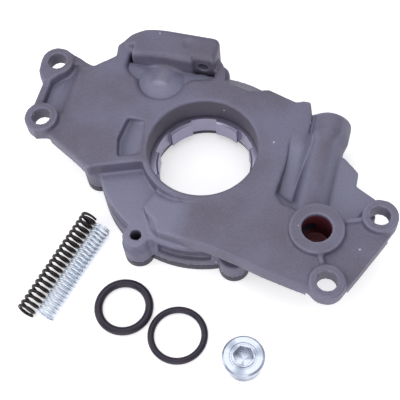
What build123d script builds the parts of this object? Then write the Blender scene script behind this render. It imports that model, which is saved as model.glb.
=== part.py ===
# Engine oil pump: a rotor pair driven by the crankshaft, in a cast housing with a relief valve.
# Millimetres. The origin is on the crankshaft axis at the outer face of the cover, which the
# pump rests on. +Z points to the engine block, +Y to the oil pan and the pick-up pipe.
import os
from math import atan2, cos, degrees, hypot, pi, radians, sin

from build123d import *

os.makedirs("parts", exist_ok=True)

# Heights above the outer face of the cover
cover_thickness = 4.0
rotor_thickness = 10.0
rotor_end_clearance = 0.05
flange_height = 13.0
plate_thickness = 8.0
plate_top = 27.5
mounting_height = 31.0
ear_thickness = 8.0
rim_top = 30.3
rib_top = 29.5
pocket_floor = 20.0
side_floor = 22.5
valley_floor = 20.0
side_thickness = 8.0

# Crankshaft bore, rotor case and cover
crank_bore_radius = 25.5
cover_bore_radius = 25.0
cover_radius = 49.8
case_radius = 49.2
case_top_radius = 42.0
collar_width = 3.2
edge_chamfer = 0.6

# Cover screws, M5 countersunk, where the casting has room for them
screw_circle_radius = 50.8
screw_angles = (43, 98, 149, 194.5, 247.5, 299.5, 340)
west_screw_angle = 194.5
through_screw_angle = 247.5
screw_lobe_radius = 7.0
through_lug_radius = 6.2
through_lug_top = 19.0
through_lug_flare = 33
screw_radius = 2.5
screw_head_radius = 5.2
screw_length = 10.0
screw_clearance = 0.05
screw_hole_clearance = 0.3
tapped_depth_past_screw = 1.5
screw_socket = 3.0
screw_socket_depth = 2.0

# Dowels that line the cover up
dowel_wall = 2.51
dowel_angles = (75, 318)
dowel_radius = 2.0
dowel_depth = 5.0
dowel_clearance = 0.02

# Rotor pair: the outer rotor has one lobe more than the inner one
outer_lobes = 11
eccentricity = 2.8
eccentric_angle = 240
lobe_circle_radius = 38.2
lobe_radius = 7.0
lobe_curve_points = 16
lobe_hollow_clearance = 0.15
rotor_mesh_clearance = 0.12
outer_rotor_radius = 41.0
outer_rotor_clearance = 0.09
port_inner_radius = 30.0
port_outer_radius = 36.0
port_depth = 3.0
port_land_angle = 18

# Drive lugs in the inner rotor, which slide over the crankshaft's splined hub
drive_bore_radius = 23.9
drive_lug_radius = 22.0
drive_lugs = 6
drive_lug_angle = 30
first_lug_angle = 15.2
lug_chamfer = 0.9

# Mounting ears, for M8 studs: centre of each ear
ear_places = {1: (-81.0, 30.0), 2: (-78.0, -2.5), 3: (85.0, -19.5), 4: (68.5, -55.0)}
ear_radius = 8.0
ear_hole_radius = 4.4
ear_spot_face = 0.8

# Discharge boss, whose ring face seals against the block
discharge_place = (59.5, -31.4)
discharge_boss_radius = 12.3
discharge_boss_bottom = 10.0
discharge_hole_radius = 6.7
discharge_depth = 17.5
discharge_runner_radius = 7.5
discharge_passage_radius = 4.3
discharge_port_angle = -30

# Inlet block, with the bore for the pick-up pipe and the tapped hole for its bolt
inlet_x = -29.5
inlet_axis_height = 19.0
inlet_block_top = 34.5
inlet_bore_radius = 13.1
inlet_bore_depth = 13.0
inlet_passage_radius = 6.5
inlet_dome_radius = 10.8
inlet_dome_height = 16.4
inlet_bowl_radius = 11.1
inlet_bowl_floor = 24.3
inlet_link_width = 8.0
inlet_link_height = 4.4
inlet_face_y = 57.5
inlet_back_y = 41.0
inlet_west_x = -46.8
inlet_east_x = -5.2
inlet_dome_y = 33.0
inlet_link_end_y = 12.0
inlet_passage_end_y = 30.0
inlet_west_corner = 9.0
inlet_east_corner = 3.5
inlet_top_edge = 2.4
inlet_slope_x = -31.0
shoulder_west_x = -56.0
shoulder_west_height = 26.0
inlet_step_x = -15.5
inlet_step_y = 43.4
inlet_step_corner = 2.0
pickup_bolt_x = -11.0
pickup_bolt_height = 27.5
pickup_bolt_radius = 2.5
inlet_neck_bottom = 7.0
dimple_place = (-20.5, 51.0)
dimple_radius = 3.0
dimple_depth = 0.8

# Relief valve, bored along Y
relief_x = 54.5
relief_axis_height = 18.5
relief_bore_radius = 6.0
relief_tube_radius = 8.75
relief_seat_y = -18.0
relief_face_y = 31.0
relief_port_radius = 4.0
relief_outlet_y = -9.0
relief_outlet_radius = 4.0
plug_boss_radius = 10.0
plug_boss_length = 10.0
plug_boss_cone = 5.0
plug_boss_edge = 1.6
plug_recess = 1.0

# Relief plug with its sealing washer
plug_thread_radius = 8.0
plug_thread_clearance = 0.05
plug_thread_length = 8.5
plug_flange_radius = 9.25
plug_flange_thickness = 3.0
plug_socket = 8.0
plug_socket_depth = 5.0
plug_groove_radius = 5.95
plug_groove_width = 0.85
plug_groove_depth = 0.5
plug_edge_chamfer = 0.8
washer_thickness = 1.0
washer_radius = 7.9
washer_bore_radius = 5.0

# Relief piston, a cup with its open end to the spring
piston_clearance = 0.04
piston_length = 20.0
piston_bore_radius = 4.9
piston_crown = 2.5
piston_nose_chamfer = 1.2
seat_gap = 0.1

# Springs
spring_radius = 4.35
spring_end_gap = 0.1
dark_wire_radius = 0.75
dark_spring_coils = 20
dark_spring_length = 54.5
relief_spring_coils = 14
bright_wire_radius = 0.5
bright_spring_coils = 24
bright_spring_length = 49.0
closed_coil_pitch = 1.15
coil_sides = 12
spring_rest_gap = 0.05

# Rings that seal the pick-up pipe
thick_ring_radius = 11.6
thick_ring_section = 1.9
thin_ring_radius = 12.0
thin_ring_section = 1.53

# Loose pieces, laid out on the surface that the pump rests on
thick_ring_place = (-18.6, -75.4)
thin_ring_place = (8.6, -82.6)
spare_plug_place = (40.1, -88.3)
dark_spring_place = (-47.2, -36.2)
dark_spring_angle = -104.7
bright_spring_place = (-39.3, -40.8)
bright_spring_angle = -104.4

# Groove in the outside of the case, on the side away from the pan
groove_floor_radius = 46.7
groove_bottom = 8.0
groove_top = 17.0
groove_middle_angle = 273.5
groove_angle = 29.0

# Worked out from the sizes above
rotor_bottom = cover_thickness + rotor_end_clearance
case_pocket_top = cover_thickness + rotor_thickness + 2 * rotor_end_clearance
plate_bottom = plate_top - plate_thickness
case_taper = degrees(atan2(case_radius - case_top_radius, plate_bottom - flange_height))
inner_lobes = outer_lobes - 1
dowel_circle_radius = outer_rotor_radius + outer_rotor_clearance + dowel_wall + dowel_radius
mesh_angle = eccentric_angle - 180
dimple_sphere_radius = (dimple_radius ** 2 + dimple_depth ** 2) / (2 * dimple_depth)
lobe_hollow_radius = lobe_circle_radius - lobe_radius + 2 * eccentricity + lobe_hollow_clearance
plug_boss_y = relief_face_y - plug_boss_length
washer_face_y = relief_face_y - plug_thread_length + washer_thickness
plug_head_y = relief_face_y - plug_recess
piston_open_y = relief_seat_y + seat_gap + piston_length
piston_floor_y = relief_seat_y + seat_gap + piston_crown
outer_centre = (eccentricity * cos(radians(eccentric_angle)), eccentricity * sin(radians(eccentric_angle)))


def at(radius, angle):
    """A point at a radius and an angle about the crankshaft axis."""
    return (radius * cos(radians(angle)), radius * sin(radians(angle)))


def facing_pan(x, y, z):
    """A plane across the Y axis, whose extrusions run away from the pan."""
    return Plane(origin=(x, y, z), x_dir=(1, 0, 0), z_dir=(0, -1, 0))


def sloped(outline, deep_point, shallow_point, corner, keep):
    """The part of an upright prism over or under a plane, which climbs between two points."""
    climb = Vector(*shallow_point) - Vector(*deep_point)
    across = Vector(0, 0, 1).cross(climb)
    floor = Plane(origin=deep_point, z_dir=climb.cross(across))
    with BuildPart() as cutter:
        with BuildSketch(Plane.XY.offset(plate_bottom)) as shape:
            with BuildLine():
                Polyline(*outline, close=True)
            make_face()
            fillet(shape.vertices(), corner)
        extrude(amount=inlet_block_top)
        split(bisect_by=floor, keep=keep)
    return cutter.part


def lying_along(x, y, z, angle):
    """A plane for a part that lies along a direction, given as an angle about +Z."""
    return Plane(origin=(x, y, z), x_dir=(0, 0, 1), z_dir=(*at(1, angle), 0))


def wedge(radius, angle):
    """The corners of a triangle from the axis, open to either side of +X."""
    return (0, 0), at(radius, -angle / 2), at(radius, angle / 2)


def round_edges(part, radius, height):
    """The round edges of one radius at one height."""
    return [edge for edge in part.edges().filter_by(GeomType.CIRCLE)
            if abs(edge.radius - radius) < 0.01 and abs(edge.center().Z - height) < 0.01]


def inner_rotor_curve():
    """Points on the inner rotor's edge: the path of an outer lobe's centre, moved inwards."""
    points = []
    for step in range(inner_lobes * lobe_curve_points):
        lobe, along = divmod(step, lobe_curve_points)
        share = 2 * along / lobe_curve_points - 1
        turn = (2 * lobe + 0.2 * share + 0.8 * share ** 3) * pi / inner_lobes
        swing = eccentricity * outer_lobes
        pace_x = swing * sin(outer_lobes * turn) - lobe_circle_radius * sin(turn)
        pace_y = lobe_circle_radius * cos(turn) - swing * cos(outer_lobes * turn)
        inward = (lobe_radius + rotor_mesh_clearance) / hypot(pace_x, pace_y)
        points.append((
            lobe_circle_radius * cos(turn) - eccentricity * cos(outer_lobes * turn) - inward * pace_y,
            lobe_circle_radius * sin(turn) - eccentricity * sin(outer_lobes * turn) + inward * pace_x))
    return points


def coil_spring(length, radius, wire_radius, coils):
    """A coil spring that stands on the XY plane, its end coils closed and ground flat."""
    coil_radius = radius - wire_radius
    closed_pitch = 2 * wire_radius * closed_coil_pitch
    open_pitch = (length - 2 * closed_pitch) / (coils - 2)
    route = []
    for step in range(coils * coil_sides + 1):
        turn = step / coil_sides
        open_turns = min(max(turn - 1, 0), coils - 2)
        height = closed_pitch * (turn - open_turns) + open_pitch * open_turns
        route.append((*at(coil_radius, 360 * turn), height))
    with BuildPart() as spring:
        with BuildLine() as coil:
            Polyline(*route)
        with BuildSketch(Plane(origin=coil.line @ 0, z_dir=coil.line % 0)):
            RegularPolygon(wire_radius, 6)
        sweep(path=coil.wires()[0], transition=Transition.RIGHT)
        split(bisect_by=Plane.XY, keep=Keep.TOP)
        split(bisect_by=Plane.XY.offset(length), keep=Keep.BOTTOM)
    return spring.part


def screw_plug():
    """A flanged screw plug with its head at the origin, facing +Z, and its shank below it."""
    with BuildPart() as plug:
        with BuildSketch():
            Circle(plug_flange_radius)
        extrude(amount=-plug_flange_thickness)
        chamfer(plug.edges().group_by(Axis.Z)[-1], plug_edge_chamfer)
        with BuildSketch(Plane.XY.offset(-plug_flange_thickness)):
            Circle(plug_thread_radius - plug_thread_clearance)
        extrude(amount=-plug_thread_length)
        chamfer(plug.edges().group_by(Axis.Z)[0], plug_edge_chamfer)
        with BuildSketch():
            Circle(plug_groove_radius)
            Circle(plug_groove_radius - plug_groove_width, mode=Mode.SUBTRACT)
        extrude(amount=-plug_groove_depth, mode=Mode.SUBTRACT)
        with BuildSketch():
            RegularPolygon(plug_socket / 2, 6, major_radius=False)
        extrude(amount=-plug_socket_depth, mode=Mode.SUBTRACT)
    return plug.part


# Line of the passage from the second port to the discharge hole
runner_start = Vector(*at((port_inner_radius + port_outer_radius) / 2, discharge_port_angle), relief_axis_height)
runner_line = Vector(*discharge_place, relief_axis_height) - runner_start
runner_plane = Plane(origin=runner_start, z_dir=runner_line)
runner_length = runner_line.length

# Outlines of the housing, seen from the block side, each as the corners between its edges
plate_outline = [
    (-84.0, 27.0), (-84.0, 0.0), (-79.5, -10.2), (-72.5, -9.6), (-58.0, -17.6), (-50.5, -22.3),
    (-40.0, -27.0), (-9.0, -46.5), (16.0, -49.3), (30.0, -52.3), (40.0, -55.0), (60.0, -58.8),
    (65.0, -62.0), (76.3, -57.0), (92.4, -22.5), (85.0, -15.0), (78.0, -22.2), (68.0, -26.0),
    (46.0, -22.0), (46.0, 27.0), (43.7, 34.8), (40.5, 34.8), (37.0, 33.3), (23.0, 37.6),
    (14.0, 34.9), (1.0, 38.3), (-1.5, 47.0), (-9.0, 55.0), (-44.0, 55.5), (-49.0, 56.0),
    (-56.0, 48.3), (-54.8, 41.8), (-64.0, 33.4), (-76.0, 37.0), (-82.0, 36.0),
]
side_outline = [
    (36.0, 12.5), (64.5, 11.0), (72.0, 4.5), (72.2, -2.6), (82.0, -7.5), (84.0, -20.0),
    (66.0, -28.0), (54.0, -24.0), (36.0, -20.0),
]
pocket_outline = [
    (-48.4, 46.0), (-48.2, 37.4), (-45.0, 33.6), (-39.5, 30.8), (-29.5, 33.0), (-18.5, 32.0),
    (-15.8, 36.0), (-4.8, 38.8), (-4.8, 46.0),
]
pocket_corner = 2.0
pocket_edge = 1.8
sector_outline = [
    (-10.0, -8.0), (-45.5, -20.8), (-60.0, -30.0), (-30.0, -62.0), (-23.0, -46.2),
    (-15.5, -44.0), (-14.6, -41.0), (-19.0, -34.5), (-16.5, -28.0),
]
slope_outline = [(-28.0, -20.0), (7.0, -20.0), (7.0, -60.0), (-28.0, -60.0)]
slope_climb = (-20.0, -40.0, 24.3), (7.0, -40.0, plate_top)
trapezoid_outline = [(-38.6, 8.0), (-30.2, 8.0), (-26.4, -9.8), (-37.2, -13.6), (-40.0, -4.0)]
trapezoid_climb = (-39.0, 0.0, 23.2), (-27.0, 0.0, 27.2)
rim_pocket_outline = [(-80.2, 31.0), (-69.5, 31.0), (-69.5, 3.0), (-80.2, 3.0)]
rim_pocket_climb = (-80.0, 0.0, 24.0), (-69.5, 0.0, plate_top)
valley_outline = [(38.3, 18.5), (39.4, 0.0), (38.0, -17.0), (42.5, -21.5), (50.0, -21.5), (50.0, 18.5)]
valley_climb = (44.0, 0.0, valley_floor), (44.0, 18.0, plate_top)
shoulder_outline = [
    (-56.0, 48.4), (-49.4, 55.6), (-43.0, inlet_face_y), (-30.0, inlet_face_y), (-30.0, 47.6), (-55.2, 47.6),
]
notch_floor = 24.0
notch_top = 28.5
notch_outline = [(-52.6, 44.8), (-52.2, 47.6), (-49.6, 47.6), (-49.4, 43.6)]
ear_web_outline = [
    (-76.0, 36.3), (-70.0, 35.0), (-66.0, 33.0), (-68.0, 31.5), (-73.0, 30.5), (-76.0, 26.0),
]
ear_web_climb = (-64.0, 33.0, plate_top), (-76.0, 33.0, mounting_height)
ear_foot_outlines = [
    [(-88.9, 29.0), (-88.2, 23.0), (-85.8, 18.6), (-81.0, 17.8), (-77.0, 23.2)],
    [(-85.9, -3.5), (-83.6, -8.2), (-79.0, -11.0), (-74.0, -9.6)],
]
rim_outline = [(-84.0, 27.0), (-84.0, 0.0), (-80.2, 0.0), (-80.2, 27.0)]
ear_rib_outlines = [
    [(66.0, -27.6), (82.0, -21.6), (82.0, -19.1), (66.0, -25.1)],
    [(60.0, -38.0), (65.0, -50.0), (67.6, -50.0), (62.6, -38.0)],
]
neck_outline = [(-44.0, 44.0), (-44.0, 30.0), (-30.0, 20.0), (-12.0, 30.0), (-12.0, 44.0)]
cast_corner = 1.2
valley_corner = 3.0
cast_edge = 1.5

# Inlet block, which the pick-up pipe enters from the pan side
with BuildPart() as inlet_block:
    with BuildSketch(Plane.XY.offset(cover_thickness)) as block:
        with Locations(((inlet_west_x + inlet_east_x) / 2, (inlet_back_y + inlet_face_y) / 2)):
            Rectangle(inlet_east_x - inlet_west_x, inlet_face_y - inlet_back_y)
        with Locations(((inlet_step_x + inlet_east_x) / 2, inlet_back_y)):
            Rectangle(inlet_east_x - inlet_step_x, 2 * (inlet_step_y - inlet_back_y), mode=Mode.SUBTRACT)
        fillet(block.vertices().group_by(Axis.Y)[0].sort_by(Axis.X)[-1], inlet_step_corner / 2)
        fillet(block.vertices().group_by(Axis.Y)[-1].sort_by(Axis.X)[0], inlet_west_corner)
        fillet(block.vertices().group_by(Axis.Y)[-1].sort_by(Axis.X)[-1], inlet_east_corner)
    extrude(amount=inlet_block_top - cover_thickness)
    with BuildSketch(Plane.XY.offset(plate_bottom)):
        with BuildLine():
            Polyline(*shoulder_outline, close=True)
        make_face()
    extrude(amount=inlet_block_top - plate_bottom)
    with BuildSketch(facing_pan(0, inlet_face_y, 0)):
        with BuildLine():
            Polyline((inlet_slope_x, inlet_block_top), (0, inlet_block_top), (0, 0), (shoulder_west_x, 0),
                     (shoulder_west_x, shoulder_west_height))
            TangentArc((inlet_slope_x, inlet_block_top), (shoulder_west_x, shoulder_west_height), tangent=(-1, 0))
        make_face()
    extrude(amount=inlet_face_y, mode=Mode.INTERSECT)
    fillet([edge for edge in inlet_block.edges().filter_by_position(Axis.Z, notch_top, inlet_block_top)
            if abs(edge.center().X - inlet_slope_x) > cast_edge], inlet_top_edge)
    with BuildSketch(Plane.XY.offset(notch_floor)):
        with BuildLine():
            Polyline(*notch_outline, close=True)
        make_face()
    extrude(amount=notch_top - notch_floor, mode=Mode.SUBTRACT)

# Housing, one casting
with BuildPart() as housing:
    # Flange round the rotor case, with a lobe at each cover screw
    with BuildSketch(Plane.XY.offset(cover_thickness)):
        Circle(cover_radius)
        with Locations(*[at(screw_circle_radius, angle) for angle in screw_angles]):
            Circle(screw_lobe_radius)
    extrude(amount=flange_height - cover_thickness)
    # Rotor case, tapered towards the pan and straight on the other side
    with BuildSketch(Plane.XY.offset(flange_height)):
        Circle(case_radius)
    extrude(amount=plate_bottom - flange_height, taper=case_taper)
    with BuildSketch(Plane.XY.offset(flange_height)):
        Circle(case_radius)
        with Locations((0, -case_radius)):
            Rectangle(2 * case_radius, 2 * case_radius, mode=Mode.INTERSECT)
        with Locations(at(screw_circle_radius, west_screw_angle)):
            Circle(screw_lobe_radius)
    extrude(amount=plate_bottom - flange_height)
    # Block-side plate, which reaches out to the four ears
    with BuildSketch(Plane.XY.offset(plate_bottom)) as plate:
        with BuildLine():
            Polyline(*plate_outline, close=True)
        make_face()
        fillet(plate.vertices(), cast_corner)
    extrude(amount=plate_thickness)
    with BuildSketch(Plane.XY.offset(flange_height)):
        with Locations(at(screw_circle_radius, through_screw_angle)):
            Circle(through_lug_radius)
    extrude(amount=through_lug_top - flange_height)
    with BuildSketch(Plane.XY.offset(side_floor - side_thickness)) as side:
        with BuildLine():
            Polyline(*side_outline, close=True)
        make_face()
        fillet(side.vertices(), cast_corner)
    extrude(amount=side_thickness)
    with BuildSketch(Plane.XY.offset(inlet_neck_bottom)):
        with BuildLine():
            Polyline(*neck_outline, close=True)
        make_face()
    extrude(amount=pocket_floor - inlet_neck_bottom)
    # Sunken sector, the gentle slope beside it, and the collar left standing round the bore
    with BuildSketch(Plane.XY.offset(plate_bottom)) as sector:
        with BuildLine():
            Polyline(*sector_outline, close=True)
        make_face()
        fillet(sector.vertices(), cast_corner)
    extrude(amount=plate_thickness, mode=Mode.SUBTRACT)
    add(sloped(slope_outline, *slope_climb, cast_corner, Keep.TOP), mode=Mode.SUBTRACT)
    with BuildSketch(Plane.XY.offset(plate_bottom)):
        Circle(crank_bore_radius + collar_width)
    extrude(amount=plate_thickness)
    # Plate falling away in a cone to the lug with the through hole
    with BuildSketch(Plane.XY.offset(through_lug_top)):
        with Locations(at(screw_circle_radius, through_screw_angle)):
            Circle(through_lug_radius)
    extrude(amount=plate_top - through_lug_top, taper=-through_lug_flare, mode=Mode.SUBTRACT)
    # Shallow recesses in the block side
    add(sloped(trapezoid_outline, *trapezoid_climb, cast_corner, Keep.TOP), mode=Mode.SUBTRACT)
    add(sloped(rim_pocket_outline, *rim_pocket_climb, cast_corner, Keep.TOP), mode=Mode.SUBTRACT)
    add(sloped(valley_outline, *valley_climb, valley_corner, Keep.TOP), mode=Mode.SUBTRACT)
    # Pocket in front of the inlet block, with the rounded end of the inlet passage in it
    with BuildSketch(Plane.XY.offset(pocket_floor)) as pocket:
        with BuildLine():
            Polyline(*pocket_outline, close=True)
        make_face()
        with Locations((inlet_x, inlet_dome_y)):
            Circle(inlet_bowl_radius)
        fillet(pocket.vertices(), pocket_corner)
    extrude(amount=plate_thickness, mode=Mode.SUBTRACT)
    fillet(housing.edges().filter_by_position(Axis.Z, plate_top, plate_top)
           .filter_by_position(Axis.X, inlet_west_x - pocket_edge, inlet_east_x)
           .filter_by_position(Axis.Y, inlet_dome_y - 2 * inlet_bowl_radius, inlet_step_y), pocket_edge)
    with BuildSketch(Plane.XY.offset(pocket_floor)):
        with Locations((inlet_x, inlet_dome_y)):
            Circle(inlet_bowl_radius)
    extrude(amount=inlet_bowl_floor - pocket_floor)
    with BuildSketch(facing_pan(inlet_x, inlet_step_y, inlet_dome_height)):
        Circle(inlet_dome_radius)
    extrude(amount=inlet_step_y - inlet_dome_y)
    with Locations((inlet_x, inlet_dome_y, inlet_dome_height)):
        Sphere(inlet_dome_radius)
    add(inlet_block.part)
    # Ears with their raised pads, the webs and ribs that meet them, and the rim between two ears
    with BuildSketch(Plane.XY.offset(mounting_height - ear_thickness)):
        with Locations(*ear_places.values()):
            Circle(ear_radius)
        for outline in ear_foot_outlines:
            with BuildLine():
                Polyline(*outline, close=True)
            make_face()
    extrude(amount=ear_thickness)
    add(sloped(ear_web_outline, *ear_web_climb, cast_edge / 4, Keep.BOTTOM))
    with BuildSketch(Plane.XY.offset(plate_bottom)):
        with BuildLine():
            Polyline(*rim_outline, close=True)
        make_face()
    extrude(amount=rim_top - plate_bottom)
    for outline in ear_rib_outlines:
        with BuildSketch(Plane.XY.offset(plate_bottom)):
            with BuildLine():
                Polyline(*outline, close=True)
            make_face()
        extrude(amount=rib_top - plate_bottom)
    # Relief valve tube with the boss for its plug, and the discharge boss and runner
    with BuildSketch(Plane.YZ.offset(relief_x)) as tube:
        with BuildLine():
            Polyline((discharge_place[1], relief_axis_height),
                     (discharge_place[1], relief_axis_height + relief_tube_radius),
                     (plug_boss_y - plug_boss_cone, relief_axis_height + relief_tube_radius),
                     (plug_boss_y, relief_axis_height + plug_boss_radius),
                     (relief_face_y, relief_axis_height + plug_boss_radius),
                     (relief_face_y, relief_axis_height), close=True)
        make_face()
        fillet(tube.vertices().group_by(Axis.Y)[-1], plug_boss_edge)
    revolve(axis=Axis((relief_x, 0, relief_axis_height), (0, 1, 0)))
    with BuildSketch(Plane.XY.offset(discharge_boss_bottom)):
        with Locations(discharge_place):
            Circle(discharge_boss_radius)
    extrude(amount=mounting_height - discharge_boss_bottom)
    with BuildSketch(runner_plane):
        Circle(discharge_runner_radius)
    extrude(amount=runner_length)
    # Ear holes, and a flat round each one on the side that the nut or bolt head meets
    with BuildSketch(Plane.XY.offset(plate_bottom)):
        with Locations(*ear_places.values()):
            Circle(ear_radius + ear_spot_face)
    extrude(amount=mounting_height - ear_thickness - plate_bottom, mode=Mode.SUBTRACT)
    with BuildSketch(Plane.XY.offset(mounting_height)):
        with Locations(*ear_places.values()):
            Circle(ear_hole_radius)
    extrude(amount=-mounting_height, mode=Mode.SUBTRACT)
    # Crankshaft bore, rotor pocket and the two kidney ports over the rotors
    with BuildSketch(Plane.XY.offset(cover_thickness)):
        Circle(crank_bore_radius)
    extrude(amount=mounting_height, mode=Mode.SUBTRACT)
    chamfer(round_edges(housing, crank_bore_radius, plate_top), edge_chamfer)
    with BuildSketch(Plane.XY.offset(cover_thickness)):
        with Locations(outer_centre):
            Circle(outer_rotor_radius + outer_rotor_clearance)
    extrude(amount=case_pocket_top - cover_thickness, mode=Mode.SUBTRACT)
    with BuildSketch(Plane.XY.offset(case_pocket_top)):
        Circle(port_outer_radius)
        Circle(port_inner_radius, mode=Mode.SUBTRACT)
        with PolarLocations(0, 2, start_angle=mesh_angle):
            Polygon(*wedge(2 * port_outer_radius, 2 * port_land_angle), align=None, mode=Mode.SUBTRACT)
    extrude(amount=port_depth, mode=Mode.SUBTRACT)
    # Inlet bore, the passage behind it and its link to the first port, and the pick-up bolt's hole
    with BuildSketch(facing_pan(inlet_x, inlet_face_y, inlet_axis_height)):
        Circle(inlet_bore_radius)
    extrude(amount=inlet_bore_depth, mode=Mode.SUBTRACT)
    with BuildSketch(facing_pan(inlet_x, inlet_face_y, inlet_axis_height)):
        Circle(inlet_passage_radius)
    extrude(amount=inlet_face_y - inlet_passage_end_y, mode=Mode.SUBTRACT)
    with BuildSketch(Plane.XY.offset(case_pocket_top)):
        with Locations((inlet_x, (inlet_dome_y + inlet_link_end_y) / 2)):
            Rectangle(inlet_link_width, inlet_dome_y - inlet_link_end_y)
    extrude(amount=inlet_link_height, mode=Mode.SUBTRACT)
    with BuildSketch(facing_pan(pickup_bolt_x, inlet_face_y, pickup_bolt_height)):
        Circle(pickup_bolt_radius)
    extrude(amount=inlet_face_y - inlet_back_y, mode=Mode.SUBTRACT)
    with Locations((*dimple_place, inlet_block_top + dimple_sphere_radius - dimple_depth)):
        Sphere(dimple_sphere_radius, mode=Mode.SUBTRACT)
    # Discharge hole, and the passage from the second port
    with BuildSketch(Plane.XY.offset(mounting_height)):
        with Locations(discharge_place):
            Circle(discharge_hole_radius)
    extrude(amount=-discharge_depth, mode=Mode.SUBTRACT)
    with BuildSketch(runner_plane):
        Circle(discharge_passage_radius)
    extrude(amount=runner_length, mode=Mode.SUBTRACT)
    # Relief valve bore, its port from the discharge hole, its outlet and the plug's hole
    with BuildSketch(facing_pan(relief_x, relief_face_y, relief_axis_height)):
        Circle(relief_bore_radius)
    extrude(amount=relief_face_y - relief_seat_y, mode=Mode.SUBTRACT)
    with BuildSketch(facing_pan(relief_x, relief_face_y, relief_axis_height)):
        Circle(relief_port_radius)
    extrude(amount=relief_face_y - discharge_place[1], mode=Mode.SUBTRACT)
    with BuildSketch(facing_pan(relief_x, relief_face_y, relief_axis_height)):
        Circle(plug_thread_radius)
    extrude(amount=plug_thread_length, mode=Mode.SUBTRACT)
    with BuildSketch(Plane.XY.offset(relief_axis_height)):
        with Locations((relief_x, relief_outlet_y)):
            Circle(relief_outlet_radius)
    extrude(amount=-relief_axis_height, mode=Mode.SUBTRACT)
    # Tapped holes for the cover screws, one of them right through, and the dowel holes
    with BuildSketch(Plane.XY.offset(cover_thickness)):
        with Locations(*[at(screw_circle_radius, angle) for angle in screw_angles]):
            Circle(screw_radius + screw_clearance)
    extrude(amount=screw_length + tapped_depth_past_screw - cover_thickness, mode=Mode.SUBTRACT)
    with BuildSketch(Plane.XY.offset(cover_thickness)):
        with Locations(at(screw_circle_radius, through_screw_angle)):
            Circle(screw_radius + screw_clearance)
    extrude(amount=plate_top, mode=Mode.SUBTRACT)
    with BuildSketch(Plane.XY.offset(cover_thickness)):
        with Locations(*[at(dowel_circle_radius, angle) for angle in dowel_angles]):
            Circle(dowel_radius + dowel_clearance)
    extrude(amount=dowel_depth, mode=Mode.SUBTRACT)
    # Groove in the outside of the case
    with BuildSketch(Plane.XY.offset(groove_bottom)):
        with Locations(Location((0, 0), groove_middle_angle)):
            Polygon(*wedge(2 * cover_radius, groove_angle), align=None)
        Circle(groove_floor_radius, mode=Mode.SUBTRACT)
    extrude(amount=groove_top - groove_bottom, mode=Mode.SUBTRACT)

# Cover over the rotors, with countersunk holes for its screws
with BuildPart() as cover:
    with BuildSketch():
        Circle(cover_radius)
        with Locations(*[at(screw_circle_radius, angle) for angle in screw_angles]):
            Circle(screw_lobe_radius)
        Circle(cover_bore_radius, mode=Mode.SUBTRACT)
        with Locations(*[at(dowel_circle_radius, angle) for angle in dowel_angles]):
            Circle(dowel_radius + dowel_clearance, mode=Mode.SUBTRACT)
        with Locations(*[at(screw_circle_radius, angle) for angle in screw_angles]):
            Circle(screw_radius + screw_hole_clearance, mode=Mode.SUBTRACT)
    extrude(amount=cover_thickness)
    with BuildSketch():
        with Locations(*[at(screw_circle_radius, angle) for angle in screw_angles]):
            Circle(screw_head_radius + screw_clearance)
    extrude(amount=screw_head_radius - screw_radius, taper=45, mode=Mode.SUBTRACT)

# Countersunk cover screws with hexagon sockets
with BuildPart() as cover_screws:
    with BuildSketch():
        with Locations(*[at(screw_circle_radius, angle) for angle in screw_angles]):
            Circle(screw_radius)
    extrude(amount=screw_length)
    chamfer(cover_screws.edges().group_by(Axis.Z)[-1], edge_chamfer)
    with BuildSketch():
        with Locations(*[at(screw_circle_radius, angle) for angle in screw_angles]):
            Circle(screw_head_radius)
    extrude(amount=screw_head_radius - screw_radius, taper=45)
    with BuildSketch():
        with Locations(*[at(screw_circle_radius, angle) for angle in screw_angles]):
            RegularPolygon(screw_socket / 2, 6, major_radius=False)
    extrude(amount=screw_socket_depth, mode=Mode.SUBTRACT)

# Dowels between the cover and the housing
with BuildPart() as cover_dowels:
    with BuildSketch(Plane.XY.offset(edge_chamfer)):
        with Locations(*[at(dowel_circle_radius, angle) for angle in dowel_angles]):
            Circle(dowel_radius)
    extrude(amount=cover_thickness + dowel_depth - 2 * edge_chamfer)

# Inner rotor, driven by the lugs in its bore
with BuildPart() as inner_rotor:
    with BuildSketch(Plane.XY.offset(rotor_bottom)):
        with BuildLine(Plane.XY.rotated((0, 0, mesh_angle))):
            curve = inner_rotor_curve()
            for start in range(0, len(curve), 2):
                ThreePointArc(curve[start], curve[start + 1], curve[(start + 2) % len(curve)])
        make_face()
        Circle(drive_bore_radius, mode=Mode.SUBTRACT)
    extrude(amount=rotor_thickness)
    with BuildSketch(Plane.XY.offset(rotor_bottom)):
        Circle((drive_bore_radius + crank_bore_radius) / 2)
        Circle(drive_lug_radius, mode=Mode.SUBTRACT)
        with PolarLocations(0, drive_lugs, start_angle=first_lug_angle + 180 / drive_lugs):
            Polygon(*wedge(2 * drive_bore_radius, 360 / drive_lugs - drive_lug_angle), align=None,
                    mode=Mode.SUBTRACT)
    extrude(amount=rotor_thickness)
    chamfer(round_edges(inner_rotor, drive_lug_radius, rotor_bottom + rotor_thickness), lug_chamfer)

# Outer rotor, a ring with round lobes that the inner rotor rolls between
with BuildPart() as outer_rotor:
    with BuildSketch(Plane.XY.offset(rotor_bottom)) as hollow:
        with Locations(outer_centre):
            Circle(lobe_hollow_radius)
            with PolarLocations(lobe_circle_radius, outer_lobes, start_angle=mesh_angle):
                Circle(lobe_radius, mode=Mode.SUBTRACT)
    with BuildSketch(Plane.XY.offset(rotor_bottom)) as ring:
        with Locations(outer_centre):
            Circle(outer_rotor_radius)
        add(hollow.sketch_local, mode=Mode.SUBTRACT)
    extrude(ring.sketch, amount=rotor_thickness)

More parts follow.
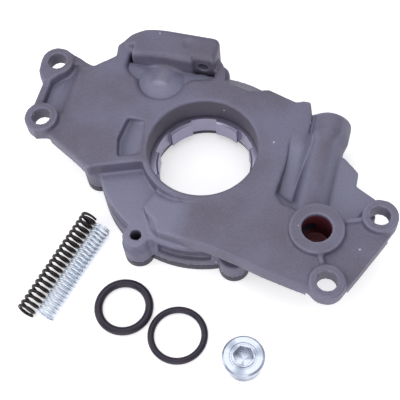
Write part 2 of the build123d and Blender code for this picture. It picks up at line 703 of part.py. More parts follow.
# Relief piston, a cup whose closed end shuts the port
with BuildPart() as relief_piston:
    with BuildSketch(facing_pan(relief_x, piston_open_y, relief_axis_height)):
        Circle(relief_bore_radius - piston_clearance)
    extrude(amount=piston_length)
    chamfer(relief_piston.edges().group_by(Axis.Y)[0], piston_nose_chamfer)
    with BuildSketch(facing_pan(relief_x, piston_open_y, relief_axis_height)):
        Circle(piston_bore_radius)
    extrude(amount=piston_length - piston_crown, mode=Mode.SUBTRACT)

# Relief spring, which stands in the piston and pushes against the plug
with BuildPart() as relief_spring:
    add(lying_along(relief_x, piston_floor_y + spring_end_gap, relief_axis_height, 90).location
        * coil_spring(washer_face_y - piston_floor_y - 2 * spring_end_gap, spring_radius, dark_wire_radius,
                      relief_spring_coils))

# Relief plug, screwed in under the boss's face, and the washer that it clamps against the shoulder
with BuildPart() as relief_plug:
    with BuildSketch(facing_pan(relief_x, plug_head_y, relief_axis_height)):
        Circle(plug_thread_radius - plug_thread_clearance)
    extrude(amount=plug_head_y - washer_face_y)
    chamfer(relief_plug.edges().filter_by(GeomType.CIRCLE), plug_edge_chamfer)
    with BuildSketch(facing_pan(relief_x, plug_head_y, relief_axis_height)):
        RegularPolygon(plug_socket / 2, 6, major_radius=False)
    extrude(amount=plug_socket_depth, mode=Mode.SUBTRACT)
with BuildPart() as plug_washer:
    with BuildSketch(facing_pan(relief_x, washer_face_y, relief_axis_height)):
        Circle(washer_radius)
        Circle(washer_bore_radius, mode=Mode.SUBTRACT)
    extrude(amount=washer_thickness)

# Loose pieces beside the pump: a spare plug and springs, and the pick-up pipe's sealing rings
with BuildPart() as spare_plug:
    add(Location((*spare_plug_place, plug_flange_thickness + plug_thread_length)) * screw_plug())
with BuildPart() as dark_spring:
    add(lying_along(*dark_spring_place, spring_radius + spring_rest_gap, dark_spring_angle).location
        * coil_spring(dark_spring_length, spring_radius, dark_wire_radius, dark_spring_coils))
with BuildPart() as bright_spring:
    add(lying_along(*bright_spring_place, spring_radius + spring_rest_gap, bright_spring_angle).location
        * coil_spring(bright_spring_length, spring_radius, bright_wire_radius, bright_spring_coils))
with BuildPart() as thick_ring:
    with Locations((*thick_ring_place, thick_ring_section)):
        Torus(thick_ring_radius, thick_ring_section)
with BuildPart() as thin_ring:
    with Locations((*thin_ring_place, thin_ring_section)):
        Torus(thin_ring_radius, thin_ring_section)

housing.part.label = "housing"
cover.part.label = "cover"
cover_screws.part.label = "cover_screws"
cover_dowels.part.label = "cover_dowels"
inner_rotor.part.label = "inner_rotor"
outer_rotor.part.label = "outer_rotor"
relief_piston.part.label = "relief_piston"
relief_spring.part.label = "relief_spring"
relief_plug.part.label = "relief_plug"
plug_washer.part.label = "plug_washer"
spare_plug.part.label = "spare_plug"
dark_spring.part.label = "dark_spring"
bright_spring.part.label = "bright_spring"
thick_ring.part.label = "thick_ring"
thin_ring.part.label = "thin_ring"

export_step(housing.part, "parts/housing.step")
export_step(cover.part, "parts/cover.step")
export_step(cover_screws.part, "parts/cover_screws.step")
export_step(cover_dowels.part, "parts/cover_dowels.step")
export_step(inner_rotor.part, "parts/inner_rotor.step")
export_step(outer_rotor.part, "parts/outer_rotor.step")
export_step(relief_piston.part, "parts/relief_piston.step")
export_step(relief_spring.part, "parts/relief_spring.step")
export_step(relief_plug.part, "parts/relief_plug.step")
export_step(plug_washer.part, "parts/plug_washer.step")
export_step(spare_plug.part, "parts/spare_plug.step")
export_step(dark_spring.part, "parts/dark_spring.step")
export_step(bright_spring.part, "parts/bright_spring.step")
export_step(thick_ring.part, "parts/thick_ring.step")
export_step(thin_ring.part, "parts/thin_ring.step")
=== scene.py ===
# Engine oil pump: the looks of the pump and of its loose spare pieces, in metres.
# The frame is the model's own: +Z to the engine block, +Y to the oil pan.
from math import atan2, cos, degrees, hypot, inf, pi, radians, sin

import bmesh
import bpy
from mathutils import Matrix, Vector


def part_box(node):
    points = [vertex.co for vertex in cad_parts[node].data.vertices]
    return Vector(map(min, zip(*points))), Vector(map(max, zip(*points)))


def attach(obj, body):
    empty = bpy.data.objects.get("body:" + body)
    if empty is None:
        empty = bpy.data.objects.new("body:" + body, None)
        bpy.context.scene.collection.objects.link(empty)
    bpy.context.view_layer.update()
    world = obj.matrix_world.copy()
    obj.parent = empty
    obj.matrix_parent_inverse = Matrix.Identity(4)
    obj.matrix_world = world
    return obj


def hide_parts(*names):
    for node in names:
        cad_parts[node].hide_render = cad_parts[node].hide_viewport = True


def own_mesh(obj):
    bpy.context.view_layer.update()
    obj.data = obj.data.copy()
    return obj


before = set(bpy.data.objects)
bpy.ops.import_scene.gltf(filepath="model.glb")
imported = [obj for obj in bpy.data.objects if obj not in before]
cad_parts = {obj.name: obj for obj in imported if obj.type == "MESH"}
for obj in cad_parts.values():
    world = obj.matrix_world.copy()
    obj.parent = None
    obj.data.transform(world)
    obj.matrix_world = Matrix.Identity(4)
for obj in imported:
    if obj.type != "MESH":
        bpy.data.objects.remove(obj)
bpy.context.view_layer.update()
scene = bpy.context.scene


# Camera
# It looks down on the block side from the pump's near right, turned a little about its own
# line of sight, through a long lens that shows the whole pump with the spare pieces.
camera_place = Vector((0.0774, -0.2116, 0.3846))
camera_target = Vector((0.0006, -0.0135, 0.0))
camera_roll = -0.1286
camera_lens = 82.31

camera_data = bpy.data.cameras.new("camera")
camera_data.lens = camera_lens
camera_data.sensor_width = 36.0
camera_data.clip_start = 0.01
camera = bpy.data.objects.new("camera", camera_data)
scene.collection.objects.link(camera)
sight = (camera_target - camera_place).normalized()
level = sight.cross(Vector((0, 0, 1))).normalized()
upright = level.cross(sight)
camera_right = cos(camera_roll) * level + sin(camera_roll) * upright
camera_up = cos(camera_roll) * upright - sin(camera_roll) * level
camera_turn = Matrix((camera_right, camera_up, -sight)).transposed().to_4x4()
camera.matrix_world = Matrix.Translation(camera_place) @ camera_turn
scene.camera = camera


# Housing, its shape
# One aluminium casting with the soft edges and filled corners that a worn die leaves, which
# stay sharp only round the holes, bores and faces that are machined after casting.
cast_grid = 0.0005
cast_triangles = 180000
sharp_fade = 0.0012
plate_top = 0.0275
block_side = 0.0320
crank_axis = (0.0, 0.0)
discharge_place = (0.0595, -0.0314)
ear_places = ((-0.0810, 0.0300), (-0.0780, -0.0025), (0.0850, -0.0195), (0.0685, -0.0550))
ear_cuts = ((0.0050, 0.0), (0.0074, 0.0298))
screw_circle = 0.0508
screw_angles = (43, 98, 149, 194.5, 299.5, 340)
tapped_radius = 0.0031
tapped_top = 0.0125
machined = [
    # axis, the axis's place, radius, lowest and highest place along the axis
    ("Z", crank_axis, 0.0260, 0.0, 0.0268),
    ("Z", (-0.0014, -0.0024), 0.0416, 0.0, 0.0146),
    ("Z", crank_axis, 0.0600, 0.0, 0.0052),
    ("Z", discharge_place, 0.0116, 0.0296, block_side),
    ("Z", discharge_place, 0.0072, 0.0120, block_side),
    ("Z", (-0.0194, -0.0469), tapped_radius, 0.0, 0.0200),
    ("Y", (0.0545, 0.0185), 0.0066, -0.0200, 0.0225),
    ("Y", (0.0545, 0.0185), 0.0084, 0.0220, 0.0320),
    ("Y", (-0.0295, 0.0190), 0.0136, 0.0440, 0.0580),
    ("Y", (-0.0110, 0.0275), tapped_radius, 0.0430, 0.0580),
]
machined += [("Z", ear, radius, low, block_side) for radius, low in ear_cuts for ear in ear_places]
machined += [("Z", (screw_circle * cos(radians(angle)), screw_circle * sin(radians(angle))),
              tapped_radius, 0.0, tapped_top) for angle in screw_angles]

# The pocket beside the inlet block, with the bulge in its bowl
collar_edge = 0.0310
pocket_box = ((-0.0490, 0.0210), (-0.0040, 0.0428))
pocket_floor = 0.0241
bowl_floor = 0.0243
bowl_edges = (0.9, 1.4)
bulge_middle = (-0.0295, 0.0330)
bulge_radius = 0.0114
bulge_rise = 0.0028
bulge_fall = 1.2

# The valley beside the relief tube, the gap at its end and the pocket in the west rim
valley_box = ((0.0370, -0.0225), (0.0500, 0.0190))
valley_floor = (0.0195, 0.0275)
valley_ends = (-0.0160, 0.0170)
valley_tilt = 0.8
valley_tilt_start = 0.0450
gap_box = ((0.0455, 0.0185), (0.0520, 0.0330))
gap_floor = 0.0242
rim_box = ((-0.0802, 0.0030), (-0.0695, 0.0310))
rim_floor = 0.0257

# The groove beside the crank bore's collar
groove_radii = (0.0288, 0.0350)
groove_angles = (234, 280)
groove_floor = 0.0225

# How far the fillings are blended, and the corners that the die has lost most
lug_box = ((-0.0340, -0.0640), (-0.0040, -0.0200))
corner_box = ((0.0560, -0.0660), (0.0950, -0.0480))
softer_boxes = (pocket_box, valley_box, gap_box, lug_box, corner_box)
filled_from = 0.0195
softer_from = 0.0185
least_upward = -0.05
smoothing = 0.5
softer_passes = 20
cast_passes = 14
flat_face_weight = 50


def ramp(value, low, high):
    """How far a number has come from low to high, from 0 to 1."""
    return min(1.0, max(0.0, (value - low) / (high - low)))


def inside(box, place):
    """Whether a point is over a rectangle, given by two of its corners."""
    return box[0][0] < place.x < box[1][0] and box[0][1] < place.y < box[1][1]


def softness(place):
    """How far a point is from the machined faces, from 0 on them to 1 where all is as cast."""
    share = 1.0
    for axis, middle, radius, low, high in machined:
        across = (place.x, place.y) if axis == "Z" else (place.x, place.z)
        along = place.z if axis == "Z" else place.y
        aside = hypot(across[0] - middle[0], across[1] - middle[1]) - radius
        share = min(share, ramp(max(aside, low - along, along - high), 0.0, sharp_fade))
    return share


def least_height(place):
    """The height up to which the die filled the casting's pockets and the valley beside the tube."""
    if inside(pocket_box, place) and hypot(place.x, place.y) > collar_edge:
        reach = hypot(place.x - bulge_middle[0], place.y - bulge_middle[1]) / bulge_radius
        floor = bowl_floor + (pocket_floor - bowl_floor) * ramp(reach, *bowl_edges)
        return floor + bulge_rise * max(0.0, 1 - reach ** 2) ** bulge_fall
    if inside(valley_box, place):
        climbed = ramp(place.y, *valley_ends)
        climbed = climbed * climbed * (3 - 2 * climbed)
        fall = valley_tilt * max(0.0, place.x - valley_tilt_start)
        return valley_floor[0] + (valley_floor[1] - valley_floor[0]) * climbed - fall
    if inside(gap_box, place):
        return gap_floor
    if inside(rim_box, place):
        return rim_floor
    return 0.0


def greatest_height(place):
    """The height to which the groove beside the collar is sunk. It narrows and fades to one end."""
    angle = degrees(atan2(place.y, place.x)) % 360
    share = (angle - groove_angles[0]) / (groove_angles[1] - groove_angles[0])
    reach = hypot(place.x, place.y) - groove_radii[0]
    width = (groove_radii[1] - groove_radii[0]) * (1 - share)
    if 0 < share < 1 and 0 < reach < width:
        deepest = groove_floor + (plate_top - groove_floor) * share ** 2
        return deepest + (plate_top - deepest) * reach / width
    return inf


def reshaped(mesh, kind, weights=None, **settings):
    """A new mesh from one modifier, which may work by a share for each vertex."""
    holder = bpy.data.objects.new("holder", mesh)
    scene.collection.objects.link(holder)
    modifier = holder.modifiers.new(kind, kind)
    for name, value in settings.items():
        setattr(modifier, name, value)
    if weights:
        group = holder.vertex_groups.new(name="share")
        modifier.vertex_group = group.name
        for tenth in range(1, 11):
            members = [index for index, share in enumerate(weights) if round(10 * share) == tenth]
            group.add(members, tenth / 10, "REPLACE")
    result = bpy.data.meshes.new_from_object(holder.evaluated_get(bpy.context.evaluated_depsgraph_get()))
    bpy.data.objects.remove(holder)
    return result


cast_shape = bmesh.new()
cast_shape.from_mesh(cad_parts["housing"].data)
bmesh.ops.remove_doubles(cast_shape, verts=cast_shape.verts, dist=1e-6)
cast_mesh = bpy.data.meshes.new("cast_copy")
cast_shape.to_mesh(cast_mesh)
cast_shape.free()
cast_mesh = reshaped(cast_mesh, "REMESH", mode="VOXEL", voxel_size=cast_grid)
# All heights are read before one is written, because each write has the normals worked out anew.
filled = [(vertex, least_height(vertex.co)) for vertex in cast_mesh.vertices
          if vertex.co.z > filled_from and vertex.normal.z > least_upward]
for vertex, wanted in filled:
    vertex.co.z = min(max(vertex.co.z, wanted), greatest_height(vertex.co))
cast_softness = [softness(vertex.co) for vertex in cast_mesh.vertices]
filled_softness = [
    share if vertex.co.z > softer_from and any(inside(box, vertex.co) for box in softer_boxes) else 0.0
    for share, vertex in zip(cast_softness, cast_mesh.vertices)]
cast_mesh = reshaped(cast_mesh, "SMOOTH", filled_softness, factor=smoothing, iterations=softer_passes)
cast_mesh = reshaped(cast_mesh, "SMOOTH", cast_softness, factor=smoothing, iterations=cast_passes)
cast_mesh = reshaped(cast_mesh, "DECIMATE", ratio=cast_triangles / (2 * len(cast_mesh.polygons)))
for face in cast_mesh.polygons:
    face.use_smooth = True
cast_mesh = reshaped(cast_mesh, "WEIGHTED_NORMAL", weight=flat_face_weight)
cast_housing = bpy.data.objects.new("cast_housing", cast_mesh)
scene.collection.objects.link(cast_housing)
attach(cast_housing, "pump")
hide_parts("housing")


# Housing, its skin
# Die-cast aluminium left as cast, with a fine matte skin and a few shining nicks. Edges painted lighter as wear
# and highlight, painted shade in corners, hollows and the bore's wall, paler painted light below the plate, and
# dark reddish brown in the discharge hole.
housing_cool = (0.142, 0.136, 0.208, 1)
housing_warm = (0.105, 0.094, 0.137, 1)
patch_size = 36.0
patch_contrast = (0.34, 0.66)
# The lighter colour of bright grain and of rubbed edges, on which it is also a painted highlight.
housing_rubbed_and_highlit = (0.34, 0.33, 0.44, 1)
grain_contrast = (0.45, 0.70)
grain_strength = 0.12

# Painted light: faces that look up from below the plate are painted paler, as if more light reached them.
housing_painted_light = (0.170, 0.168, 0.247, 1)
painted_light_top = (0.0272, 0.0262)
painted_light_bottom = (0.0180, 0.0190)
painted_light_slant = (0.2, 0.8)

# Painted shade: corners and deep hollows are painted darker, brown-red in the deepest, where light falls less.
housing_painted_corner_shade = (0.066, 0.050, 0.080, 1)
housing_painted_hollow_shade = (0.050, 0.022, 0.034, 1)
painted_edge_light_and_corner_shade = (
    # on edges rather than in corners, reach, samples, share of open air, strength, colour
    # Painted highlight: convex edges are painted lighter, partly as rubbed wear and partly as a highlight.
    (True, 0.0022, 8, 0.86, 0.95, housing_rubbed_and_highlit),
    (False, 0.0035, 8, 0.72, 0.50, housing_painted_corner_shade),
    (False, 0.0200, 12, 0.20, 0.85, housing_painted_hollow_shade),
)
tightest_corner = 0.02
# Painted shade on the crank bore's wall, and dark reddish brown painted inside the discharge hole.
painted_bore_shade_and_hole_tint = (
    # place, outer and inner radius of the fade, height above which it fades, colour
    (discharge_place, (0.0082, 0.00738), (0.0296, 0.0286), (0.110, 0.020, 0.030, 1)),
    (crank_axis, (0.0288, 0.0283), (0.0268, 0.0258), (0.085, 0.073, 0.108, 1)),
)
housing_nick = (0.50, 0.48, 0.54, 1)
nick_scale = 150.0
nick_edge = (0.080, 0.050)
nick_choice = (0.55, 0.56)
cast_edge = 0.0010
cast_roughness = 0.42
cast_metallic = 0.25
roughness_spread = 0.2


def new_material(name):
    """A material with a Principled BSDF, and its tree and shader."""
    material = bpy.data.materials.new(name)
    material.use_nodes = True
    tree = material.node_tree
    return material, tree, tree.nodes["Principled BSDF"]


def new_group(name, inputs, outputs):
    """A shader node group with named sockets, given as (name, type, default)."""
    group = bpy.data.node_groups.new(name, "ShaderNodeTree")
    for socket_name, kind, value in inputs:
        socket = group.interface.new_socket(socket_name, in_out="INPUT", socket_type=kind)
        socket.default_value = value
    for socket_name, kind in outputs:
        group.interface.new_socket(socket_name, in_out="OUTPUT", socket_type=kind)
    return group, group.nodes.new("NodeGroupInput"), group.nodes.new("NodeGroupOutput")


def place_group(tree, group, **values):
    """Puts a group into a material, with its own values."""
    node = tree.nodes.new("ShaderNodeGroup")
    node.node_tree = group
    for name, value in values.items():
        node.inputs[name.replace("_", " ").capitalize()].default_value = value
    return node


def math_node(tree, operation, first, second=0.0, clamp=True):
    """A Math node between two sockets or numbers."""
    node = tree.nodes.new("ShaderNodeMath")
    node.operation = operation
    node.use_clamp = clamp
    for socket, value in zip(node.inputs, (first, second)):
        if isinstance(value, (int, float)):
            socket.default_value = value
        else:
            tree.links.new(value, socket)
    return node.outputs[0]


def mix_colours(tree, share, first, second):
    """A Mix node between two colours, each a socket or a colour."""
    node = tree.nodes.new("ShaderNodeMix")
    node.data_type = "RGBA"
    tree.links.new(share, node.inputs["Factor"])
    # Its sockets for colours come after those for numbers and vectors, which have the same names.
    for socket, value in zip((node.inputs[6], node.inputs[7]), (first, second)):
        if isinstance(value, tuple):
            socket.default_value = value
        else:
            tree.links.new(value, socket)
    return node.outputs[2]


def between(tree, value, low, high):
    """How far a socket's value has come from low to high, from 0 to 1."""
    node = tree.nodes.new("ShaderNodeMapRange")
    node.inputs["From Min"].default_value = low
    node.inputs["From Max"].default_value = high
    tree.links.new(value, node.inputs["Value"])
    return node.outputs["Result"]


def roughen(tree, shader, grain, roughness):
    """Gives a shader its least roughness, and more of it where the grain is high."""
    spread = math_node(tree, "MULTIPLY", grain, roughness_spread)
    tree.links.new(math_node(tree, "ADD", spread, roughness), shader.inputs["Roughness"])


def raise_skin(tree, shader, height, normal, strength, distance):
    """Raises a shader's surface by a height, on top of its rounded edges."""
    bump = tree.nodes.new("ShaderNodeBump")
    bump.inputs["Strength"].default_value = strength
    bump.inputs["Distance"].default_value = distance
    tree.links.new(height, bump.inputs["Height"])
    tree.links.new(normal, bump.inputs["Normal"])
    tree.links.new(bump.outputs["Normal"], shader.inputs["Normal"])


# Rounded edges: where a rounded normal departs from the flat one, the edge is rubbed.
edges, edges_in, edges_out = new_group(
    "rounded_edges", [("Wear", "NodeSocketFloat", 1.0), ("Radius", "NodeSocketFloat", 0.0003)],
    [("Mask", "NodeSocketFloat"), ("Normal", "NodeSocketVector")])
rounding = edges.nodes.new("ShaderNodeBevel")
rounding.samples = 8
edges.links.new(edges_in.outputs["Radius"], rounding.inputs["Radius"])
facing = edges.nodes.new("ShaderNodeNewGeometry")
agreement = edges.nodes.new("ShaderNodeVectorMath")
agreement.operation = "DOT_PRODUCT"
edges.links.new(rounding.outputs["Normal"], agreement.inputs[0])
edges.links.new(facing.outputs["Normal"], agreement.inputs[1])
departure = math_node(edges, "SUBTRACT", 1.0, agreement.outputs["Value"])
edges.links.new(math_node(edges, "MULTIPLY", departure, edges_in.outputs["Wear"]), edges_out.inputs["Mask"])
edges.links.new(rounding.outputs["Normal"], edges_out.inputs["Normal"])

# Metal and rubber skin: fine grains, and soft, broad patches of lighter and darker stuff.
skin, skin_in, skin_out = new_group(
    "fine_skin", [("Grain size", "NodeSocketFloat", 1100.0), ("Patch size", "NodeSocketFloat", 60.0)],
    [("Grain", "NodeSocketFloat"), ("Patches", "NodeSocketFloat")])
skin_place = skin.nodes.new("ShaderNodeTexCoord")
for socket_name, output_name, detail in (("Grain size", "Grain", 6.0), ("Patch size", "Patches", 3.0)):
    noise = skin.nodes.new("ShaderNodeTexNoise")
    noise.inputs["Detail"].default_value = detail
    skin.links.new(skin_place.outputs["Object"], noise.inputs["Vector"])
    skin.links.new(skin_in.outputs[socket_name], noise.inputs["Scale"])
    skin.links.new(noise.outputs["Fac"], skin_out.inputs[output_name])

casting, tree, shader = new_material("cast_aluminium")
cast = place_group(tree, skin, patch_size=patch_size)
rub = place_group(tree, edges, radius=cast_edge)
spot = tree.nodes.new("ShaderNodeTexCoord")
height = tree.nodes.new("ShaderNodeSeparateXYZ")
tree.links.new(spot.outputs["Object"], height.inputs[0])
slant = tree.nodes.new("ShaderNodeSeparateXYZ")
tree.links.new(spot.outputs["Normal"], slant.inputs[0])
shade = mix_colours(tree, between(tree, cast.outputs["Patches"], *patch_contrast), housing_cool, housing_warm)

# Painted light on upward faces below the plate.
below_plate = math_node(tree, "MULTIPLY", between(tree, height.outputs["Z"], *painted_light_top),
                        between(tree, height.outputs["Z"], *painted_light_bottom))
painted_light_mask = math_node(tree, "MULTIPLY", below_plate, between(tree, slant.outputs["Z"], *painted_light_slant))
shade = mix_colours(tree, painted_light_mask, shade, housing_painted_light)
bright_grain = between(tree, cast.outputs["Grain"], *grain_contrast)
shade = mix_colours(tree, math_node(tree, "MULTIPLY", bright_grain, grain_strength), shade, housing_rubbed_and_highlit)

# Painted light and shade from ambient occlusion: a painted highlight on edges, painted shade in corners and
# hollows.
for on_edges, reach, samples, open_share, strength, colour in painted_edge_light_and_corner_shade:
    corner = tree.nodes.new("ShaderNodeAmbientOcclusion")
    corner.only_local = True
    corner.inside = on_edges
    corner.samples = samples
    corner.inputs["Distance"].default_value = reach
    shut_in = between(tree, corner.outputs["AO"], open_share, tightest_corner)
    shade = mix_colours(tree, math_node(tree, "MULTIPLY", shut_in, strength), shade, colour)

# Painted shade on the bore's wall and the reddish brown inside the discharge hole, both by place.
for place, radii, heights, colour in painted_bore_shade_and_hole_tint:
    flat = tree.nodes.new("ShaderNodeVectorMath")
    flat.operation = "MULTIPLY"
    flat.inputs[1].default_value = (1, 1, 0)
    aside = tree.nodes.new("ShaderNodeVectorMath")
    aside.operation = "DISTANCE"
    aside.inputs[1].default_value = (*place, 0)
    tree.links.new(spot.outputs["Object"], flat.inputs[0])
    tree.links.new(flat.outputs["Vector"], aside.inputs[0])
    within = math_node(tree, "MULTIPLY", between(tree, aside.outputs["Value"], *radii),
                       between(tree, height.outputs["Z"], *heights))
    shade = mix_colours(tree, within, shade, colour)

nicks = tree.nodes.new("ShaderNodeTexVoronoi")
nicks.inputs["Scale"].default_value = nick_scale
tree.links.new(spot.outputs["Object"], nicks.inputs["Vector"])
chosen = tree.nodes.new("ShaderNodeSeparateColor")
tree.links.new(nicks.outputs["Color"], chosen.inputs["Color"])
nick = math_node(tree, "MULTIPLY", between(tree, nicks.outputs["Distance"], *nick_edge),
                 between(tree, chosen.outputs["Red"], *nick_choice))
tree.links.new(mix_colours(tree, nick, shade, housing_nick), shader.inputs["Base Color"])
raise_skin(tree, shader, cast.outputs["Grain"], rub.outputs["Normal"], strength=0.5, distance=0.0003)
roughen(tree, shader, cast.outputs["Grain"], cast_roughness)
shader.inputs["Metallic"].default_value = cast_metallic
cast_housing.data.materials.clear()
cast_housing.data.materials.append(casting)


# Cover, its screws and its dowels
# A flat iron cover, ground on both faces, which seven dull plated countersunk screws hold
# on the housing, and two ground steel dowels line up.
cover_metals = {
    # node: colour, least roughness
    "cover": ((0.060, 0.055, 0.075, 1), 0.35),
    "cover_screws": ((0.20, 0.20, 0.24, 1), 0.30),
    "cover_dowels": ((0.50, 0.50, 0.55, 1), 0.15),
}
grinding_marks = 2500.0
rubbed_gain = 1.6
ground_metallic = 0.85


def put_on(node_name, material):
    """Gives a node of the model its material."""
    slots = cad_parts[node_name].data.materials
    slots.clear()
    slots.append(material)


def ground_metal(name, colour, roughness):
    """Plain machined metal, with faint grinding marks and rubbed edges."""
    material, tree, shader = new_material(name)
    marks = place_group(tree, skin, grain_size=grinding_marks)
    rub = place_group(tree, edges)
    lighter = (*(min(1, rubbed_gain * part) for part in colour[:3]), 1)
    tree.links.new(mix_colours(tree, rub.outputs["Mask"], colour, lighter), shader.inputs["Base Color"])
    roughen(tree, shader, marks.outputs["Grain"], roughness)
    raise_skin(tree, shader, marks.outputs["Grain"], rub.outputs["Normal"], strength=0.2, distance=0.00008)
    shader.inputs["Metallic"].default_value = ground_metallic
    return material


for node_name, (colour, roughness) in cover_metals.items():
    put_on(node_name, ground_metal(node_name, colour, roughness))


# Rotors and relief valve
# The two rotors are pressed and sintered steel with a film of oil. The relief valve's piston
# is ground and its washer is aluminium. Its plug and the spare one are bright zinc over steel.
rotor_steel = ground_metal("rotor_steel", (0.32, 0.30, 0.42, 1), 0.24)
put_on("inner_rotor", rotor_steel)
put_on("outer_rotor", rotor_steel)
put_on("relief_piston", ground_metal("piston_steel", (0.52, 0.52, 0.58, 1), 0.12))
put_on("plug_washer", ground_metal("washer_aluminium", (0.60, 0.60, 0.64, 1), 0.28))

zinc_furrow = (0.34, 0.38, 0.47, 1)
zinc_ridge = (0.54, 0.57, 0.66, 1)
zinc_shadow = (0.13, 0.16, 0.22, 1)
zinc_roughness = 0.22
tool_marks = 900.0
tool_wander = 1.5
tool_anisotropy = 0.85
shadow_sectors = 3
shadow_edges = (0.3, 1.0)
shadow_strength = 0.60


def turned_zinc(name, node_name, axis):
    """Bright zinc with fine rings about a plug's own axis, which catch the light, and dark sectors of painted
    reflection.
    """
    material, tree, shader = new_material(name)
    around = tree.nodes.new("ShaderNodeTangent")
    around.direction_type = "RADIAL"
    around.axis = axis
    tree.links.new(around.outputs["Tangent"], shader.inputs["Tangent"])
    low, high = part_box(node_name)
    place = tree.nodes.new("ShaderNodeTexCoord")
    centred = tree.nodes.new("ShaderNodeMapping")
    centred.inputs["Location"].default_value = [-(a + b) / 2 for a, b in zip(low, high)]
    tree.links.new(place.outputs["Object"], centred.inputs["Vector"])
    rings = tree.nodes.new("ShaderNodeTexWave")
    rings.wave_type = "RINGS"
    rings.rings_direction = axis
    rings.inputs["Scale"].default_value = tool_marks
    rings.inputs["Distortion"].default_value = tool_wander
    tree.links.new(centred.outputs["Vector"], rings.inputs["Vector"])
    rub = place_group(tree, edges)
    raise_skin(tree, shader, rings.outputs["Fac"], rub.outputs["Normal"], strength=0.25, distance=0.00006)
    upright = tree.nodes.new("ShaderNodeMapping")
    upright.inputs["Rotation"].default_value = (-pi / 2 if axis == "Y" else 0.0, 0.0, 0.0)
    tree.links.new(centred.outputs["Vector"], upright.inputs["Vector"])
    turn = tree.nodes.new("ShaderNodeTexGradient")
    turn.gradient_type = "RADIAL"
    tree.links.new(upright.outputs["Vector"], turn.inputs["Vector"])
    # Painted reflection: dark sectors about the plug's axis are painted into its colour.
    angle = math_node(tree, "MULTIPLY", turn.outputs["Fac"], 2 * pi * shadow_sectors, clamp=False)
    swing = math_node(tree, "SINE", math_node(tree, "SUBTRACT", angle, pi, clamp=False), clamp=False)
    shadow = math_node(tree, "MULTIPLY", between(tree, swing, *shadow_edges), shadow_strength)
    zinc = mix_colours(tree, rings.outputs["Fac"], zinc_furrow, zinc_ridge)
    tree.links.new(mix_colours(tree, shadow, zinc, zinc_shadow), shader.inputs["Base Color"])
    shader.inputs["Metallic"].default_value = 1.0
    shader.inputs["Roughness"].default_value = zinc_roughness
    shader.inputs["Anisotropic"].default_value = tool_anisotropy
    return material


put_on("relief_plug", turned_zinc("zinc_plug", "relief_plug", "Y"))
put_on("spare_plug", turned_zinc("zinc_spare_plug", "spare_plug", "Z"))


# Springs
# Round wire wound in an even coil, its end turns closed and ground flat: black for one spare
# and for the spring between piston and plug, bright zinc over thinner wire for the other spare.
coil_steps = 28
wire_sides = 10
closed_pitch = 2.3
spring_radius = 0.00435
lying_height = 0.0044
thick_wire = 0.00075
thin_wire = 0.0005
winding_marks = 1800.0
plating_patches = 240.0
darkest_patch = 0.7


def wound_wire(name, colour, roughness, metallic):
    """Drawn wire: smooth, with faint marks of the winding tool."""
    material, tree, shader = new_material(name)
    marks = place_group(tree, skin, grain_size=winding_marks, patch_size=plating_patches)
    darker = (*(darkest_patch * part for part in colour[:3]), 1)
    tree.links.new(mix_colours(tree, marks.outputs["Patches"], colour, darker), shader.inputs["Base Color"])
    roughen(tree, shader, marks.outputs["Grain"], roughness)
    shader.inputs["Metallic"].default_value = metallic
    return material


def wind_spring(name, node_name, start, angle, length, wire, coils, material):
    """A level spring, from one ground end to the other, in place of a plainer one."""
    shape = bmesh.new()
    section = bmesh.ops.create_circle(shape, segments=wire_sides, radius=wire)["verts"]
    bmesh.ops.rotate(shape, verts=section, cent=(0, 0, 0), matrix=Matrix.Rotation(pi / 2, 3, "X"))
    bmesh.ops.translate(shape, verts=section, vec=(spring_radius - wire, 0, 0))
    geometry = list(shape.verts) + list(shape.edges)
    end_rise = closed_pitch * wire
    open_rise = length - 2 * end_rise
    for turns, rise in ((1, end_rise), (coils - 2, open_rise), (1, end_rise)):
        steps = turns * coil_steps
        spun = bmesh.ops.spin(shape, geom=geometry, cent=(0, 0, 0), axis=(0, 0, 1), dvec=(0, 0, rise / steps),
                              angle=2 * pi * turns, steps=steps)
        geometry = spun["geom_last"]
    for height, outwards in ((0, -1), (length, 1)):
        everything = list(shape.verts) + list(shape.edges) + list(shape.faces)
        cut = bmesh.ops.bisect_plane(shape, geom=everything, plane_co=(0, 0, height), plane_no=(0, 0, outwards),
                                     clear_outer=True)
        rim = [part for part in cut["geom_cut"] if isinstance(part, bmesh.types.BMEdge)]
        bmesh.ops.edgeloop_fill(shape, edges=rim)
    bmesh.ops.remove_doubles(shape, verts=shape.verts, dist=1e-7)
    bmesh.ops.recalc_face_normals(shape, faces=shape.faces)
    along = Vector((cos(radians(angle)), sin(radians(angle)), 0))
    turn = Vector((0, 0, 1)).rotation_difference(along).to_matrix().to_4x4()
    bmesh.ops.transform(shape, matrix=Matrix.Translation(start) @ turn, verts=shape.verts)
    for face in shape.faces:
        face.smooth = len(face.verts) == 4
    mesh = bpy.data.meshes.new(name)
    shape.to_mesh(mesh)
    shape.free()
    mesh.materials.append(material)
    piece = bpy.data.objects.new(name, mesh)
    scene.collection.objects.link(piece)
    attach(piece, "pump")
    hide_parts(node_name)
    return piece


black_wire = wound_wire("black_wire", (0.016, 0.009, 0.012, 1), roughness=0.24, metallic=0.4)
zinc_wire = wound_wire("zinc_wire", (0.74, 0.82, 0.95, 1), roughness=0.20, metallic=0.75)
wind_spring("spare_dark_spring", "dark_spring", start=(-0.0472, -0.0362, lying_height),
            angle=-104.7, length=0.0545, wire=thick_wire, coils=20, material=black_wire)
wind_spring("spare_bright_spring", "bright_spring", start=(-0.0393, -0.0408, lying_height),
            angle=-104.4, length=0.0490, wire=thin_wire, coils=24, material=zinc_wire)

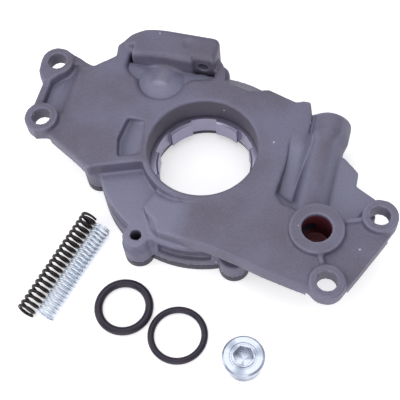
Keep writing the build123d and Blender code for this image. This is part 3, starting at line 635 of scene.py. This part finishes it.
# The fitted spring takes the plainer one's place and length, with a mesh of its own.
fitted_low, fitted_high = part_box("relief_spring")
fitted_length = fitted_high.y - fitted_low.y
fitted_start = Vector(((fitted_low.x + fitted_high.x) / 2, fitted_low.y, (fitted_low.z + fitted_high.z) / 2))
fitted_spring = wind_spring("fitted_spring", "relief_spring", start=fitted_start,
                            angle=90.0, length=fitted_length, wire=thick_wire, coils=14, material=black_wire)
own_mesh(fitted_spring)


# Seal rings
# Two moulded rubber rings of slightly different thickness, one of which seals the end of the
# pick-up pipe.
rubber, tree, shader = new_material("ring_rubber")
rubber_dark = (0.012, 0.008, 0.020, 1)
rubber_dusty = (0.024, 0.016, 0.036, 1)
dust = place_group(tree, skin, grain_size=1400.0, patch_size=160.0)
tree.links.new(mix_colours(tree, dust.outputs["Patches"], rubber_dark, rubber_dusty), shader.inputs["Base Color"])
roughen(tree, shader, dust.outputs["Grain"], 0.26)
shader.inputs["Specular IOR Level"].default_value = 0.35
put_on("thick_ring", rubber)
put_on("thin_ring", rubber)


# Floor, lamps and surroundings
# A plain white table under a large soft lamp overhead, one as strong at the near side and a
# weak low one at the left, in a pale room. The camera sees table and room a little brighter.
floor_size = 6.0
floor_colour = (0.90, 0.90, 0.92, 1)
floor_roughness = 0.9
seen_glow = 0.42
room_light = 0.58
lamps = {
    # name: place, size, power
    "key": ((-0.10, 0.15, 0.90), 0.8, 3.2),
    "fill": ((0.05, -0.80, 0.40), 0.8, 3.4),
    "low": ((-0.75, -0.15, 0.30), 0.5, 1.8),
}

floor_mesh = bpy.data.meshes.new("floor")
shape = bmesh.new()
bmesh.ops.create_grid(shape, x_segments=1, y_segments=1, size=floor_size / 2)
shape.to_mesh(floor_mesh)
shape.free()
floor = bpy.data.objects.new("floor", floor_mesh)
scene.collection.objects.link(floor)
table, tree, shader = new_material("white_table")
shader.inputs["Base Color"].default_value = floor_colour
shader.inputs["Roughness"].default_value = floor_roughness
seen = tree.nodes.new("ShaderNodeLightPath")
seen_or_mirrored = math_node(tree, "ADD", seen.outputs["Is Camera Ray"], seen.outputs["Is Glossy Ray"])
glow = tree.nodes.new("ShaderNodeEmission")
glow.inputs["Color"].default_value = (1, 1, 1, 1)
tree.links.new(math_node(tree, "MULTIPLY", seen_or_mirrored, seen_glow), glow.inputs["Strength"])
both = tree.nodes.new("ShaderNodeAddShader")
tree.links.new(shader.outputs["BSDF"], both.inputs[0])
tree.links.new(glow.outputs["Emission"], both.inputs[1])
tree.links.new(both.outputs["Shader"], tree.nodes["Material Output"].inputs["Surface"])
floor_mesh.materials.append(table)

world = bpy.data.worlds.new("room")
world.use_nodes = True
scene.world = world
tree = world.node_tree
seen = tree.nodes.new("ShaderNodeLightPath")
room = tree.nodes["Background"]
room.inputs["Color"].default_value = (1, 1, 1, 1)
brighter = math_node(tree, "MULTIPLY", seen.outputs["Is Camera Ray"], seen_glow)
tree.links.new(math_node(tree, "ADD", brighter, room_light), room.inputs["Strength"])

for lamp_name, (place, size, power) in lamps.items():
    lamp_data = bpy.data.lights.new(lamp_name, "AREA")
    lamp_data.size = size
    lamp_data.energy = power
    lamp = bpy.data.objects.new(lamp_name, lamp_data)
    scene.collection.objects.link(lamp)
    aim = Vector(place).to_track_quat("Z", "Y").to_matrix().to_4x4()
    lamp.matrix_world = Matrix.Translation(place) @ aim

scene.view_settings.view_transform = "Standard"
